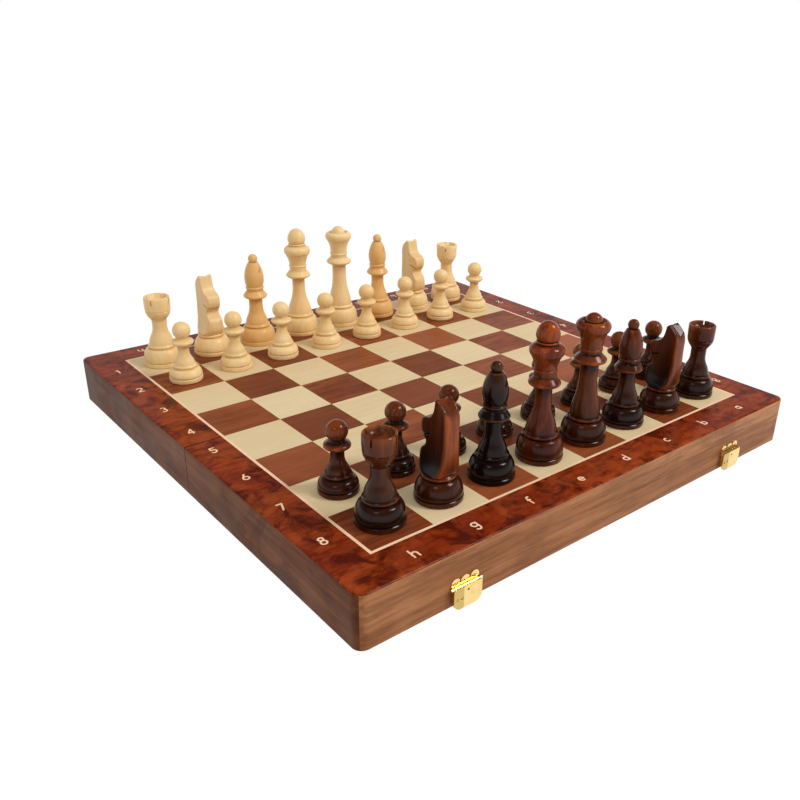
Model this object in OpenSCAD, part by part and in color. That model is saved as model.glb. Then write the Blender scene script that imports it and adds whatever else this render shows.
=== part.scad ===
// Folding chess box. Two felt-lined trays are hinged along the middle of the playing face, with two
// hasp latches on the front rail and a full set of turned men standing on their squares.
// The box lies open and flat: X runs along the front rail, Y goes to the rear, Z is up from the table.

/* [Board] */
// Side of one square
square_size = 43.5; // [38:0.5:48]
// Width of the pale line round the squares
stringing_w = 2; // [1:0.5:3]
// Width of the border outside the pale line
border_w = 27; // [20:1:30]
// Thickness of all the veneers
veneer_t = 0.8; // [0.6:0.1:1.5]
// Thickness of the board under the veneers
panel_t = 4; // [3:0.5:6]
// Size of the letters and numbers, as a share of their drawn size
glyph_scale = 1; // [0.8:0.05:1.3]
// Distance from one letter or number to the next
mark_pitch = 44.8; // [42:0.1:46]
// How far the front half's numbers sit from their row's middle towards the seam
front_mark_shift = 4.8; // [0:0.2:6]
// Width of the strokes of the letters and numbers
glyph_stroke = 1.2; // [0.8:0.1:1.5]

/* [Box] */
// Height of each half, from its rim to the playing face
half_h = 35.7; // [30:0.1:45]
// Thickness of the rails
rail_t = 8; // [7.5:0.5:11]
// Radius of the four outer corners
corner_r = 6.5; // [3:0.5:7.4]
// Radius of the rounded edge round the playing face
edge_r = 1.5; // [0.5:0.1:2.5]
// Width of the ledge that carries the board
ledge_w = 4; // [2:0.5:5]
// Gap between the two halves when they lie flat
seam_gap = 0.3; // [0.2:0.1:0.6]
// Thickness of the felt lining
felt_t = 1; // [0.6:0.1:2]
// Clearance of glued and let-in pieces
fit_gap = 0.05; // [0.02:0.01:0.1]

/* [Hinges] */
// Distance of each hinge from the middle of the box
hinge_x = 120; // [60:5:150]
// Length of a hinge
hinge_len = 36; // [24:1:60]
// Width of a hinge leaf from the pin's centre
leaf_w = 7; // [5.5:0.5:7]
// Thickness of a hinge leaf
leaf_t = 1; // [0.8:0.1:1.5]
// Outer radius of the knuckles
knuckle_r = 1.5; // [1.3:0.1:2]
// Radius of the hinge pin
pin_r = 0.75; // [0.5:0.05:0.9]
// Clearance round the pin and between knuckles
run_gap = 0.05; // [0.03:0.01:0.1]
// Distance of the leaf screws from the pin's centre
leaf_screw_y = 4.4; // [3.6:0.1:4.6]

/* [Latches] */
// Distance of each latch from the middle of the box
latch_x = 131; // [60:1:160]
// Width of the latch flap
flap_w = 21; // [19:1:30]
// How far the flap's front stands off the rail
flap_depth = 3.5; // [3.4:0.1:5]
// Thickness of the flap's sheet
flap_t = 0.7; // [0.5:0.1:0.8]
// Height of the latch pin above the table
latch_pin_z = 13.6; // [12.5:0.1:18]
// How far the latch pin stands off the rail
latch_pin_off = 1.7; // [1.6:0.05:1.8]
// Thickness of the plates on the rails
plate_t = 0.6; // [0.4:0.1:0.6]
// Reach of the lip that the flap hooks behind
lip_reach = 1.1; // [0.8:0.1:1.3]

/* [Men] */
// Height of the king
king_h = 95; // [80:1:105]
// Height of the queen
queen_h = 91.8; // [76:0.2:100]
// Height of a bishop
bishop_h = 78.6; // [66:0.2:86]
// Height of a knight
knight_h = 67; // [56:0.5:74]
// Height of a rook
rook_h = 57; // [48:0.5:64]
// Height of a pawn
pawn_h = 47.6; // [40:0.2:54]
// Base radius of the king and queen
king_base_r = 16; // [13:0.5:18]
// Base radius of the bishops, knights and rooks
piece_base_r = 15.3; // [12:0.1:18]
// Base radius of a pawn
pawn_base_r = 12.9; // [10:0.1:15]
// Thickness of a knight's head
knight_t = 11.4; // [8:0.2:14]

/* [Hidden] */

$fn = 48;
// a little extra length that lets a cut run past a face
over = 1;

// Heights. The hinge axis lies in the plane of the rims, so the knuckles hang below it.
rim_z = knuckle_r;
top_z = rim_z + half_h;
veneer_z = top_z - veneer_t;
panel_z = veneer_z - panel_t;

// Plan sizes
files = 8;
half_ranks = files / 2;
grid_half = files / 2 * square_size;
field_half = grid_half + stringing_w;
side_half = field_half + border_w;
tray_x = side_half - rail_t;
tray_y0 = seam_gap / 2 + rail_t;
tray_y1 = side_half - rail_t;

// Screws
screw_head_r = 1.9;
screw_head_h = 0.85;
screw_r = 0.95;
screw_len = 6.5;
dome_head_r = 1.3;
dome_head_h = 0.5;
leaf_screw_dx = hinge_len / 3;
bronze = [0.55, 0.42, 0.2];
brass = [0.85, 0.68, 0.3];
walnut = [0.5, 0.35, 0.24];
bubinga = [0.42, 0.14, 0.07];
maple = [0.88, 0.79, 0.62];
darkwood = [0.55, 0.28, 0.18];
stringing = [0.94, 0.76, 0.6];
feltgreen = [0.1, 0.3, 0.2];
plywood = [0.75, 0.6, 0.42];
boxwood = [0.93, 0.79, 0.57];
stained = [0.2, 0.1, 0.06];

// Puts what is drawn for the rear half on the front half.
module front() { mirror([0, 1, 0]) children(); }

// What is cut from a square corner to leave it round. The corner points towards +X +Y.
module corner_bit(r) {
    difference() {
        translate([-r, -r]) square([r + over, r + over]);
        translate([-r, -r]) circle(r, $fn = 64);
    }
}

// Outline of the rear half, its two far corners round
module half_plan() {
    difference() {
        translate([-side_half, seam_gap / 2]) square([2 * side_half, side_half - seam_gap / 2]);
        for (s = [-1, 1])
            translate([s * side_half, side_half]) mirror([s < 0 ? 1 : 0, 0]) corner_bit(corner_r);
    }
}

// Section of what is cut from the edge round the playing face. Its corner lies at [out, 0].
function edge_section(out) = concat(
    [[out - edge_r, over]], arc([out - edge_r, -edge_r], edge_r, 90, 0, 4),
    [[out + over, -edge_r], [out + over, over]]
);

// Rounds the upper edge along all four sides and corners of the open box.
module edge_bits() {
    translate([0, 0, top_z]) for (k = [0:3]) rotate(90 * k) {
        rotate([90, 0, 0]) linear_extrude(2 * (side_half - corner_r), center = true)
            polygon(edge_section(side_half));
        translate([side_half - corner_r, side_half - corner_r])
            rotate_extrude(angle = 90, $fn = 64) polygon(edge_section(corner_r));
    }
}

// Inside of the rails, grown outwards by a given distance
module tray_plan(grow) {
    translate([-tray_x - grow, tray_y0 - grow])
        square([2 * (tray_x + grow), tray_y1 - tray_y0 + 2 * grow]);
}

// All four rails of a half as one ring, with the ledge that carries the board
module rail_ring() {
    difference() {
        translate([0, 0, rim_z]) linear_extrude(veneer_z - rim_z) difference() {
            half_plan();
            tray_plan(0);
        }
        translate([0, 0, panel_z]) linear_extrude(panel_t + over) tray_plan(ledge_w);
        edge_bits();
    }
}

// Mitre lines run at 45 degrees from the outer corners to the inner ones.
module outer_rail_zone() {
    polygon([[-side_half, side_half], [side_half, side_half], [tray_x, tray_y1], [-tray_x, tray_y1]]);
}

module seam_rail_zone() {
    polygon([[-side_half, seam_gap / 2], [side_half, seam_gap / 2], [tray_x, tray_y0], [-tray_x, tray_y0]]);
}

module side_rail_zone(s) {
    polygon([[s * side_half, seam_gap / 2], [s * side_half, side_half],
             [s * tray_x, tray_y1], [s * tray_x, tray_y0]]);
}

// A wood screw with a flat countersunk head, its head face at z = 0 and its point up
module flat_screw(gap = 0) {
    rotate_extrude($fn = 24)
        polygon([[0, 0], [screw_head_r + gap, 0], [screw_r + gap, screw_head_h],
                 [screw_r + gap, screw_len - 1.5], [0, screw_len + gap]]);
}

// A small screw with a domed head, which stands out towards -Z from z = 0
module dome_screw(gap = 0) {
    rotate_extrude($fn = 24)
        polygon([[0, -dome_head_h], [dome_head_r * 0.5, -dome_head_h * 0.85],
                 [dome_head_r * 0.87, -dome_head_h * 0.5], [dome_head_r, 0],
                 [screw_r * 0.7 + gap, 0], [screw_r * 0.7 + gap, screw_len - 2], [0, screw_len - 1 + gap]]);
}

// Places its children at each screw of the two leaves of the rear half.
module at_leaf_screws() {
    for (h = [-1, 1], s = [-1, 1])
        translate([h * hinge_x + s * leaf_screw_dx, leaf_screw_y, rim_z + fit_gap]) children();
}

// Room that the leaves and knuckles take from a seam rail
module hinge_room() {
    for (h = [-1, 1]) translate([h * hinge_x, 0, rim_z]) {
        translate([-hinge_len / 2 - fit_gap, -over, -over])
            cube([hinge_len + 2 * fit_gap, over + leaf_w + fit_gap, over + leaf_t + 2 * fit_gap]);
        rotate([0, 90, 0])
            cylinder(r = knuckle_r + 0.3, h = hinge_len + 2 * fit_gap, center = true);
    }
}

// Height and sideways place of the screws that hold a catch plate and a latch base
catch_screw_z = rim_z + 5.2;
catch_screw_dx = 5.5;
base_screw_z = latch_pin_z + 2.8;
base_screw_dx = 7;

module at_catch_screws(off) {
    for (h = [-1, 1], s = [-1, 1])
        translate([h * latch_x + s * catch_screw_dx, side_half + off, catch_screw_z])
            rotate([90, 0, 0]) children();
}

module at_base_screws(off) {
    for (h = [-1, 1], s = [-1, 1])
        translate([h * latch_x + s * base_screw_dx, side_half + off, base_screw_z])
            rotate([90, 0, 0]) children();
}

module outer_rail() {
    intersection() {
        rail_ring();
        linear_extrude(top_z) outer_rail_zone();
    }
}

module side_rails() {
    for (s = [-1, 1]) intersection() {
        rail_ring();
        linear_extrude(top_z) side_rail_zone(s);
    }
}

module seam_rail() {
    difference() {
        intersection() {
            rail_ring();
            linear_extrude(top_z) seam_rail_zone();
        }
        hinge_room();
        at_leaf_screws() flat_screw(fit_gap);
    }
}

module board_panel() {
    translate([0, 0, panel_z]) linear_extrude(panel_t) tray_plan(ledge_w - fit_gap);
}

// Felt that lines the underside of the board and the inner faces of the rails
module felt_lining() {
    difference() {
        translate([0, 0, rim_z + 2]) linear_extrude(panel_z - rim_z - 2) tray_plan(0);
        translate([0, 0, rim_z + 2 - over]) linear_extrude(panel_z - rim_z - 2 - felt_t + over)
            tray_plan(-felt_t);
    }
}

// A stroke from a to b
module bar(a, b) {
    d = b - a;
    translate(a) rotate(atan2(d[1], d[0])) translate([0, -glyph_stroke / 2])
        square([norm(d), glyph_stroke]);
}

// A round stroke of radius r about c, from angle a0 to a1
module bend(c, r, a0, a1) {
    step = (a1 - a0) / 8;
    translate(c) intersection() {
        difference() {
            circle(r + glyph_stroke / 2, $fn = 32);
            circle(r - glyph_stroke / 2, $fn = 32);
        }
        polygon(concat([[0, 0]], [for (k = [0:8]) 3 * r * [cos(a0 + k * step), sin(a0 + k * step)]]));
    }
}

module loop(c, r) {
    translate(c) difference() {
        circle(r + glyph_stroke / 2, $fn = 32);
        circle(r - glyph_stroke / 2, $fn = 32);
    }
}

// Letters and numbers in plain strokes. The numbers are 8 tall and 5 wide.
module glyph_shape(c) {
    if (c == "1") {
        bar([2.8, 0], [2.8, 8]);
        bar([1.2, 6.2], [2.8, 7.5]);
    }
    if (c == "2") {
        bend([2.4, 5.6], 1.9, -35, 170);
        bar([4.15, 4.7], [0.6, 0.6]);
        bar([0.2, 0.55], [4.7, 0.55]);
    }
    if (c == "3") {
        bend([2.2, 5.85], 1.6, -90, 150);
        bend([2.2, 2.45], 1.9, -150, 90);
    }
    if (c == "4") {
        bar([3.5, 0], [3.5, 8]);
        bar([3.5, 7.6], [0.5, 2.4]);
        bar([0.1, 2.4], [4.9, 2.4]);
    }
    if (c == "5") {
        bar([0.9, 7.4], [4.4, 7.4]);
        bar([1.25, 7.7], [1.05, 4.1]);
        bend([2.3, 2.6], 2, -150, 130);
    }
    if (c == "6") {
        loop([2.4, 2.5], 1.95);
        bar([0.75, 3.2], [3.2, 7.8]);
    }
    if (c == "7") {
        bar([0.4, 7.4], [4.6, 7.4]);
        bar([4.3, 7.5], [1.7, 0]);
    }
    if (c == "8") {
        loop([2.4, 6], 1.45);
        loop([2.4, 2.4], 1.85);
    }
    if (c == "a") {
        loop([2.3, 2.5], 1.9);
        bar([4.2, 0], [4.2, 5]);
    }
    if (c == "b") {
        bar([0.6, 0], [0.6, 8]);
        loop([2.5, 2.5], 1.9);
    }
    if (c == "c") bend([2.5, 2.6], 2, 45, 315);
    if (c == "d") {
        loop([2.2, 2.5], 1.9);
        bar([4.1, 0], [4.1, 8]);
    }
    if (c == "e") {
        bend([2.4, 2.6], 2, 0, 315);
        bar([0.6, 2.6], [4.9, 2.6]);
    }
    if (c == "f") {
        bar([1.7, 0], [1.7, 6.4]);
        bend([3.2, 6.4], 1.5, 50, 180);
        bar([0.4, 4.8], [3.4, 4.8]);
    }
    if (c == "g") {
        loop([2.2, 3], 1.9);
        bar([4.1, 5.2], [4.1, -0.4]);
        bend([2.3, -0.4], 1.8, 200, 360);
    }
    if (c == "h") {
        bar([0.6, 0], [0.6, 8]);
        bend([2.45, 3.2], 1.8, 0, 180);
        bar([4.25, 0], [4.25, 3.3]);
    }
}

module glyph(c, x, y, turn) {
    mid = [2.45, c == "g" ? 2.2 : 4];
    translate([x, y]) rotate(turn) scale(glyph_scale) translate(-mid) glyph_shape(c);
}

// The marks of one half. Rows 0 to 3 are on the front half and rows 4 to 7 on the rear half.
module marks(first_row) {
    line = field_half + border_w / 2;
    rear = first_row > 0;
    mid_y = rear ? grid_half / 2 : front_mark_shift - grid_half / 2;
    for (i = [0:files - 1])
        glyph("hgfedcba"[i], (i - (files - 1) / 2) * mark_pitch, rear ? line : -line, rear ? 180 : 0);
    for (j = [0:half_ranks - 1]) {
        y = mid_y + (j - (half_ranks - 1) / 2) * mark_pitch;
        glyph("87654321"[first_row + j], -line, y, 0);
        glyph("87654321"[first_row + j], line, y, 180);
    }
}

// The part of the plan that belongs to the half that starts at the given row
module half_zone(first_row) {
    translate([-side_half - over, first_row > 0 ? seam_gap / 2 : -side_half - over])
        square([2 * (side_half + over), side_half + over - seam_gap / 2]);
}

module border_veneer(first_row) {
    difference() {
        translate([0, 0, veneer_z]) linear_extrude(veneer_t) difference() {
            mirror([0, first_row > 0 ? 0 : 1]) half_plan();
            square(2 * field_half, center = true);
            marks(first_row);
        }
        edge_bits();
    }
}

module inlay(first_row) {
    translate([0, 0, veneer_z]) linear_extrude(veneer_t) {
        intersection() {
            difference() {
                square(2 * field_half, center = true);
                square(2 * grid_half, center = true);
            }
            half_zone(first_row);
        }
        marks(first_row);
    }
}

// Squares whose file and row add up to an even number are dark, so parity 0 draws the dark ones.
module squares(first_row, parity) {
    for (i = [0:files - 1], j = [first_row:first_row + half_ranks - 1])
        if ((i + j) % 2 == parity) {
            y0 = max(j * square_size - grid_half, first_row > 0 ? seam_gap / 2 : -grid_half);
            y1 = min((j + 1) * square_size - grid_half, first_row > 0 ? grid_half : -seam_gap / 2);
            translate([i * square_size - grid_half, y0, veneer_z])
                cube([square_size, y1 - y0, veneer_t]);
        }
}

// One leaf of each hinge. The rear leaf has the two outer knuckles and the front leaf the middle one.
module hinge_leaves(outer) {
    third = hinge_len / 3;
    spans = outer ? [[-hinge_len / 2, -third / 2 - run_gap], [third / 2 + run_gap, hinge_len / 2]]
                  : [[-third / 2 + run_gap, third / 2 - run_gap]];
    difference() {
        for (h = [-1, 1]) translate([h * hinge_x, 0, rim_z]) difference() {
            union() {
                translate([-hinge_len / 2, knuckle_r + 0.4, fit_gap])
                    cube([hinge_len, leaf_w - knuckle_r - 0.4, leaf_t]);
                for (s = spans) {
                    translate([s[0], pin_r, fit_gap])
                        cube([s[1] - s[0], leaf_w - pin_r, leaf_t]);
                    translate([s[0], 0, 0]) rotate([0, 90, 0])
                        cylinder(r = knuckle_r, h = s[1] - s[0]);
                }
            }
            rotate([0, 90, 0]) cylinder(r = pin_r + run_gap, h = hinge_len + 2, center = true);
        }
        at_leaf_screws() flat_screw(fit_gap);
    }
}

// Heights of the lip on the catch plate and of the flap's hook. Shut, the hook passes behind the lip.
lip_t = 0.55;
hook_t = 0.65;
hook_z = rim_z - 0.05 - lip_t - 0.1 - hook_t;

// Plate on the rear rail with the lip
module catch_plate() {
    difference() {
        union() {
            translate([-9, side_half, rim_z + 0.1]) cube([18, plate_t, 8]);
            translate([-6, side_half, rim_z + 0.05]) cube([12, plate_t + lip_reach, lip_t]);
        }
        for (s = [-1, 1]) translate([s * catch_screw_dx, side_half + 3, catch_screw_z])
            rotate([90, 0, 0]) cylinder(r = screw_r * 0.7 + fit_gap, h = 6, $fn = 24);
    }
}

// The latch base: height of its foot, half widths of its plate and of its knuckles
base_foot_z = rim_z + 4;
base_half_w = flap_w / 2 - flap_t - 0.5;
roll_half_w = flap_w / 2 + 0.8;
latch_pin_r = 0.45;
latch_knuckle_r = 0.95;
mid_knuckle = 3.8;

// Base plate with three round lobes on top, and the two outer knuckles on two arms
module latch_base() {
    difference() {
        union() {
            translate([-base_half_w, side_half, base_foot_z])
                cube([2 * base_half_w, plate_t, base_screw_z - base_foot_z]);
            for (k = [-1:1]) translate([k * base_screw_dx, side_half, base_screw_z])
                rotate([-90, 0, 0]) cylinder(r = 3.2, h = plate_t, $fn = 40);
            for (s = [-1, 1]) {
                translate([s > 0 ? mid_knuckle + 0.1 : -roll_half_w, side_half + latch_pin_off, latch_pin_z])
                    rotate([0, 90, 0]) cylinder(r = latch_knuckle_r, h = roll_half_w - mid_knuckle - 0.1);
                translate([s > 0 ? mid_knuckle + 0.1 : -base_half_w, side_half + plate_t / 2,
                           latch_pin_z - 0.4])
                    cube([base_half_w - mid_knuckle - 0.1, latch_pin_off - plate_t / 2, 0.8]);
            }
        }
        translate([0, side_half + latch_pin_off, latch_pin_z]) rotate([0, 90, 0])
            cylinder(r = latch_pin_r + run_gap, h = 2 * flap_w, center = true);
        for (s = [-1, 1]) translate([s * base_screw_dx, side_half + 3, base_screw_z])
            rotate([90, 0, 0]) cylinder(r = screw_r * 0.7 + fit_gap, h = 6, $fn = 24);
    }
}

// Flap with its middle knuckle, front plate, low sides and the inward hook of its tongue
module latch_flap() {
    top = latch_pin_z + 0.7;
    half = flap_w / 2;
    tongue = 6.6;
    difference() {
        union() {
            translate([0, side_half + flap_depth, 0]) rotate([90, 0, 0]) linear_extrude(flap_t)
                polygon([[-half, top - 0.6], [0.6 - half, top], [half - 0.6, top], [half, top - 0.6],
                         [half, hook_z + 3.4], [tongue + 1.4, hook_z + 0.7], [tongue, hook_z],
                         [-tongue, hook_z], [-tongue - 1.4, hook_z + 0.7], [-half, hook_z + 3.4]]);
            for (s = [-1, 1])
                translate([s > 0 ? half - flap_t : -half, side_half + 1.2, hook_z + 3.6])
                    cube([flap_t, flap_depth - 1.2 - flap_t / 2, latch_pin_z - 1.4 - hook_z - 3.6]);
            translate([-tongue, side_half + plate_t + 0.15, hook_z])
                cube([2 * tongue, flap_depth - plate_t - 0.15 - flap_t / 2, hook_t]);
            translate([0, side_half + latch_pin_off, latch_pin_z]) rotate([0, 90, 0])
                cylinder(r = latch_knuckle_r, h = 2 * mid_knuckle, center = true);
            translate([-mid_knuckle, side_half + latch_pin_off, latch_pin_z - 0.4])
                cube([2 * mid_knuckle, flap_depth - latch_pin_off - flap_t / 2, 0.8]);
        }
        translate([0, side_half + latch_pin_off, latch_pin_z]) rotate([0, 90, 0])
            cylinder(r = latch_pin_r + run_gap, h = flap_w, center = true);
        translate([0, side_half + flap_depth + over, top - 2.9]) rotate([90, 0, 0])
            cylinder(r = 0.7, h = flap_t + 2 * over, $fn = 24);
        for (x = [-8.4, -4.6]) translate([x - 0.9, side_half + flap_depth - 0.3, top - 8])
            cube([1.8, over, 2.2]);
    }
}

// Points of an arc about c, and of a cubic curve with end points a, d and handles b, c
function arc(c, r, a0, a1, n) =
    [for (k = [0:n]) let (a = a0 + (a1 - a0) * k / n) c + r * [cos(a), sin(a)]];
function curve(a, b, c, d, n) =
    [for (k = [0:n]) let (t = k / n, u = 1 - t)
        u * u * u * a + 3 * u * u * t * b + 3 * u * t * t * c + t * t * t * d];

// Half outline of a turned foot: disc, dome, groove, bell and a hollow stem up to its neck.
// A larger lift carries the bell's flare higher up the stem.
function foot(base_r, dome_z, bell_r, neck_r, neck_z, lift) =
    let (rise = neck_z - dome_z, swell = bell_r - neck_r) concat(
    [[0, 0], [base_r - 1, 0]],
    arc([base_r - 1, 1], 1, -90, 0, 3),
    [[base_r, 3.1], [base_r - 0.9, 3.8]],
    curve([base_r - 0.3, 4.4], [base_r + 0.2, 0.55 * dome_z], [bell_r + 3, 0.9 * dome_z],
          [bell_r + 0.9, dome_z], 7),
    [[bell_r - 0.5, dome_z + 0.7]],
    arc([bell_r - 1.2, dome_z + 2.1], 1.2, -50, 50, 4),
    curve([bell_r - 1.2, dome_z + 4], [neck_r + 0.62 * swell, dome_z + 0.4 * lift * rise],
          [neck_r + 0.1, dome_z + 0.42 * lift * rise], [neck_r, dome_z + 0.8 * rise], 9),
    [[neck_r, neck_z]]
);

// A lens-shaped collar of radius r at height z, between a neck below and a narrower part above
function collar(r, z, neck_r, up_r) =
    concat([[neck_r, z - 3.4], [r - 2.5, z - 2.5]], arc([r - 1.5, z - 0.2], 1.5, -60, 50, 4),
           [[up_r + 0.9, z + 3.4], [up_r, z + 4.8]]);

// Half outlines of the turned men, each closed on the axis
function pawn_line() = let (ball_r = 0.145 * pawn_h, ball_z = pawn_h - ball_r)
    concat(foot(pawn_base_r, 10, 0.7 * pawn_base_r, 4.3, 0.59 * pawn_h, 1.15),
           [[6, pawn_h - 18.8]],
           arc([6.9, pawn_h - 16.1], 1.6, -60, 60, 4),
           [[5.2, pawn_h - 13.4]],
           arc([0, ball_z], ball_r, -48, 90, 12));

function bishop_line() = let (ball_r = 4, neck_z = 0.497 * bishop_h, ball_z = bishop_h - ball_r)
    concat(foot(piece_base_r, 14, 0.71 * piece_base_r, 5.8, neck_z, 1),
           collar(10.1, neck_z + 3.6, 5.8, 7),
           arc([6.9, bishop_h - 28.9], 0.9, -60, 60, 3),
           curve([7.2, bishop_h - 27.4], [8.6, bishop_h - 22.6], [9.2, bishop_h - 15.6],
                 [4.4, bishop_h - 7.2], 10),
           [[2.8, bishop_h - 6.7]],
           arc([0, ball_z], ball_r, -40, 90, 9));

function rook_line() = let (neck_z = 0.64 * rook_h)
    concat(foot(piece_base_r, 14, 0.72 * piece_base_r, 5.8, neck_z, 1.2),
           curve([5.8, neck_z + 0.5], [6.2, rook_h - 17.4], [9.2, rook_h - 16], [9.9, rook_h - 11.6], 6),
           [[9.5, rook_h - 11.1], [10, rook_h - 10.6], [10.2, rook_h - 7], [10.2, rook_h - 0.8],
            [9.7, rook_h], [8.7, rook_h]],
           curve([8.5, rook_h - 0.6], [7.8, rook_h - 4], [4, rook_h - 5.4], [0, rook_h - 5.6], 5));

function queen_line() = let (ball_r = 6.1, neck_z = 0.61 * queen_h, ball_z = queen_h - ball_r)
    concat(foot(king_base_r, 15.5, 0.73 * king_base_r, 6.2, neck_z, 0.95),
           collar(11.2, neck_z + 3.8, 6.2, 7.2),
           arc([7, neck_z + 11], 0.9, -60, 60, 3),
           curve([7.4, neck_z + 12.8], [7.7, queen_h - 17.5], [8.6, queen_h - 15.6],
                 [10.1, queen_h - 12.8], 5),
           [[10.8, queen_h - 12], [11.5, queen_h - 10.4], [11.7, queen_h - 8.6],
            [11.2, queen_h - 6.8], [9.8, queen_h - 5.4], [8.6, queen_h - 5.1], [8.1, queen_h - 6],
            [6.2, queen_h - 6.4]],
           arc([0, ball_z], ball_r, 0, 90, 9));

function king_line() = let (neck_z = 0.53 * king_h)
    concat(foot(king_base_r, 15.5, 0.74 * king_base_r, 5.5, neck_z, 1),
           collar(10.7, neck_z + 3.6, 5.5, 7.2),
           arc([6.9, king_h - 32.6], 0.9, -60, 60, 3),
           curve([7.3, king_h - 31], [7.6, king_h - 28], [8.4, king_h - 26.4], [9.9, king_h - 23], 5),
           [[9.8, king_h - 22.7], [10.7, king_h - 22], [11.3, king_h - 20.4], [11.4, king_h - 18.8],
            [11, king_h - 17.2], [9.2, king_h - 15.6], [7, king_h - 14.6]],
           arc([6.6, king_h - 13.6], 0.8, -70, 80, 3),
           curve([6.4, king_h - 12.6], [8.7, king_h - 11], [8, king_h - 5.6], [5.2, king_h - 2.4], 6),
           curve([5.2, king_h - 2.4], [3.6, king_h - 0.6], [1.6, king_h], [0, king_h], 4));

module turned(line) { rotate_extrude($fn = 64) polygon(line); }

// Cup of the rook with two saw cuts across its rim, turned by the given angle
module rook(turn) {
    difference() {
        turned(rook_line());
        for (a = [0, 90]) rotate(turn + a) translate([-20, -0.5, rook_h - 5.2]) cube([40, 1, 7]);
    }
}

// Side outline of the knight's head. The nose points to +X and the heights follow knight_h.
function knight_side() = concat(
    [[-9.4, 18]],
    curve([-10.8, 21], [-12.2, 30], [-12.4, 0.64 * knight_h], [-11.8, 0.82 * knight_h], 5),
    [[-11, knight_h - 8.6], [-9.6, knight_h - 5.6], [-6.6, knight_h - 2.8], [-2.8, knight_h],
     [-1.2, knight_h - 1.4]],
    curve([-0.6, knight_h - 4.4], [0, knight_h - 8], [0.8, knight_h - 11], [3.4, knight_h - 13], 4),
    curve([5.4, knight_h - 14], [9.4, knight_h - 14.4], [11, knight_h - 15.8], [11.5, knight_h - 19], 4),
    curve([11.6, knight_h - 20.6], [11.4, knight_h - 24.4], [9, knight_h - 27], [6.8, knight_h - 29], 4),
    [[6.7, knight_h - 30.6]],
    curve([7.6, knight_h - 32.6], [10.6, knight_h - 34.6], [13.4, knight_h - 37.6],
          [13.2, knight_h - 42.6], 5),
    curve([13.1, knight_h - 44], [12.8, 21.4], [11.2, 19.4], [9.6, 18], 3)
);

// Foot of the knight with the platform that its head stands on
knight_foot_z = 18.4;
function knight_foot() = concat(
    [[0, 0], [piece_base_r - 1, 0]],
    arc([piece_base_r - 1, 1], 1, -90, 0, 3),
    [[piece_base_r, 3.1], [piece_base_r - 0.9, 3.8]],
    curve([piece_base_r - 0.3, 4.4], [piece_base_r + 0.2, 7.6], [13.4, 12.8], [11.2, 14.4], 7),
    [[10, 15.1]],
    arc([9.8, 16.6], 1.1, -60, 60, 3),
    [[9.2, knight_foot_z], [0, knight_foot_z]]
);

// Round blank that the knight's head is sawn from, narrower at its foot
function knight_blank() = concat(
    [[0, 18], [10.6, 18]],
    curve([11.6, 18.8], [12.4, 20.4], [12.8, 22.4], [13, 25], 4),
    [[13, knight_h + 1], [0, knight_h + 1]]
);

// Front outline of the head's sides: sawn flat above and run out in a hollow towards the foot
function knight_front() = let (half = knight_t / 2) concat(
    [[-13, 17], [13, 17], [13, 18.4]],
    curve([9.4, 18.8], [half + 1.6, 22.4], [half + 0.5, 28], [half, 38], 5),
    [[half - 0.3, knight_h + 1], [0.3 - half, knight_h + 1]],
    curve([-half, 38], [-half - 0.5, 28], [-half - 1.6, 22.4], [-9.4, 18.8], 5),
    [[-13, 18.4]]
);

// The knight faces +X here. Its head is a round blank, sawn to its side and front outlines, with a
// wide V cut that slopes up between the ears and a short slanting mouth cut.
module knight() {
    turned(knight_foot());
    difference() {
        intersection() {
            turned(knight_blank());
            rotate([90, 0, 0]) linear_extrude(32, center = true) polygon(knight_side());
            rotate([90, 0, 90]) linear_extrude(32, center = true) polygon(knight_front());
        }
        translate([-7.6, 0, knight_h - 5.3]) rotate([0, -38, 0]) rotate([90, 0, -90])
            translate([0, 0, -14]) linear_extrude(30)
                polygon([[0, 0], [8, 2.1], [8, 12], [-8, 12], [-8, 2.1]]);
        translate([1.6, 0, knight_h - 23]) rotate([0, 18, 0]) translate([0, -knight_t, -0.35])
            cube([15, 2 * knight_t, 0.7]);
    }
}

// A man on the square in the given file and row, counted from the near left corner
module on_square(i, j) {
    translate([(i + 0.5) * square_size - grid_half, (j + 0.5) * square_size - grid_half, top_z])
        children();
}

module king() { turned(king_line()); }
module queen() { turned(queen_line()); }
// The bishop's mitre has a slanting saw cut.
module bishop() {
    difference() {
        turned(bishop_line());
        translate([1, 0, bishop_h - 15]) rotate([0, -50, 0]) translate([0, -10, -0.4])
            cube([12, 20, 0.8]);
    }
}
module pawn() { turned(pawn_line()); }

// Rows of the two sides' men
light_back = files - 1;
light_front = files - 2;
dark_back = 0;
dark_front = 1;

module rear_outer_rail() {
    color(walnut) difference() {
        outer_rail();
        at_catch_screws(plate_t) dome_screw(fit_gap);
    }
}
module rear_side_rails() { color(walnut) side_rails(); }
module rear_seam_rail() { color(walnut) seam_rail(); }
module rear_board_panel() { color(plywood) board_panel(); }
module rear_border_veneer() { color(bubinga) border_veneer(half_ranks); }
module rear_light_squares() { color(maple) squares(half_ranks, 1); }
module rear_dark_squares() { color(darkwood) squares(half_ranks, 0); }
module rear_inlay() { color(stringing) inlay(half_ranks); }
module rear_felt_lining() { color(feltgreen) felt_lining(); }
module rear_hinge_leaves() { color(brass) hinge_leaves(true); }
module hinge_pins() {
    color(bronze) for (h = [-1, 1]) translate([h * hinge_x, 0, rim_z]) rotate([0, 90, 0])
        cylinder(r = pin_r, h = hinge_len, center = true);
}
module rear_screws() {
    color(bronze) {
        at_leaf_screws() flat_screw();
        at_catch_screws(plate_t) dome_screw();
    }
}
module catch_plates() {
    color(brass) for (h = [-1, 1]) translate([h * latch_x, 0, 0]) catch_plate();
}
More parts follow.
